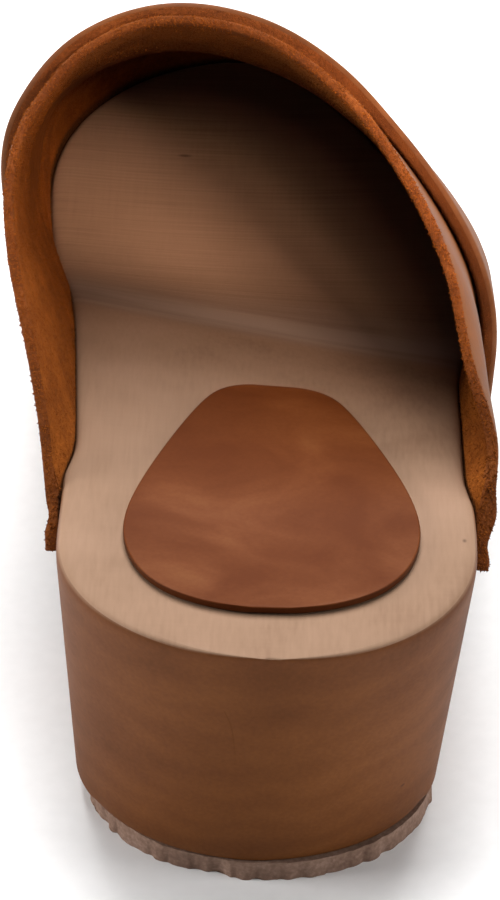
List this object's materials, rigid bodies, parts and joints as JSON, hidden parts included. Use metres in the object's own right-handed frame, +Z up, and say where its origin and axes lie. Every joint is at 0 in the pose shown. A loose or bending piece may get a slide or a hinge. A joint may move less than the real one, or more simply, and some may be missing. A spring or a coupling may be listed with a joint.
{
  "type": "clog",
  "caption": "Open-backed clog with a carved wooden sole and heel, a closed leather toe, a leather instep strap and rubber under heel and forefoot.",
  "frame": {"origin": "bottom centre of the shoe's box, on the floor", "axes": "+Y towards the toe, +X to the lateral side, +Z up"},
  "size_m": [0.0948, 0.2416, 0.1087],
  "materials": {
    "wood": "sanded and thinly oiled",
    "leather": "tan leather, waxed outside, rough flesh side inside",
    "sock": "smooth tan leather, slightly polished",
    "rubber": "matt sheet rubber"
  },
  "bodies": {
    "root": {"sole": "wood", "upper": "leather", "instep_strap": "leather", "heel_pad": "sock", "heel_rubber": "rubber", "forefoot_rubber": "rubber"}
  },
  "joints": []
}
